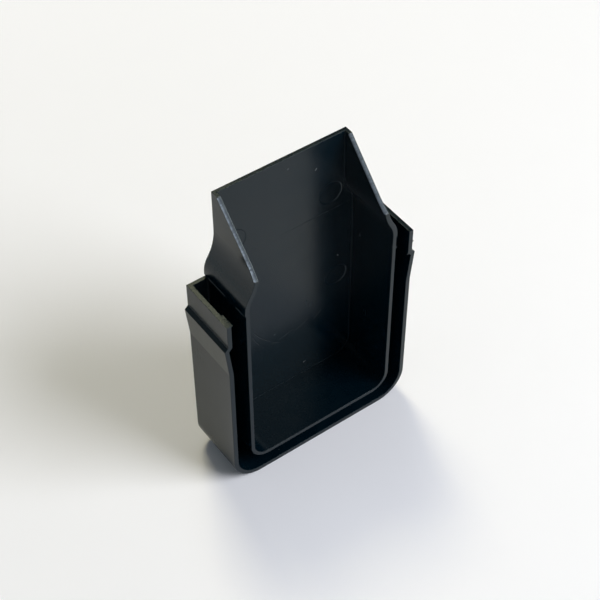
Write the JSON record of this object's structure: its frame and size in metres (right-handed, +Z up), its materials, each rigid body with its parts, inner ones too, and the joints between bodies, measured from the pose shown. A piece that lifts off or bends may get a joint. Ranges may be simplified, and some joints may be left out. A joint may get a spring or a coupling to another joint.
{
  "type": "drainage channel end cap",
  "caption": "Plastic end cap for a drainage channel: end plate with an outer trough and an inner hood, a groove between them for the channel's end, and a slant-cut neck.",
  "frame": {"origin": "on the surface that the cap stands on, under the middle of its bounding box", "axes": "+Z up, +X across the width, -Y out of the open front towards the channel, +Y out of the end plate"},
  "size_m": [0.0828, 0.025, 0.125],
  "materials": {
    "cap_plastic": "satin moulded black"
  },
  "bodies": {
    "root": {"end_cap": "cap_plastic"}
  },
  "joints": []
}
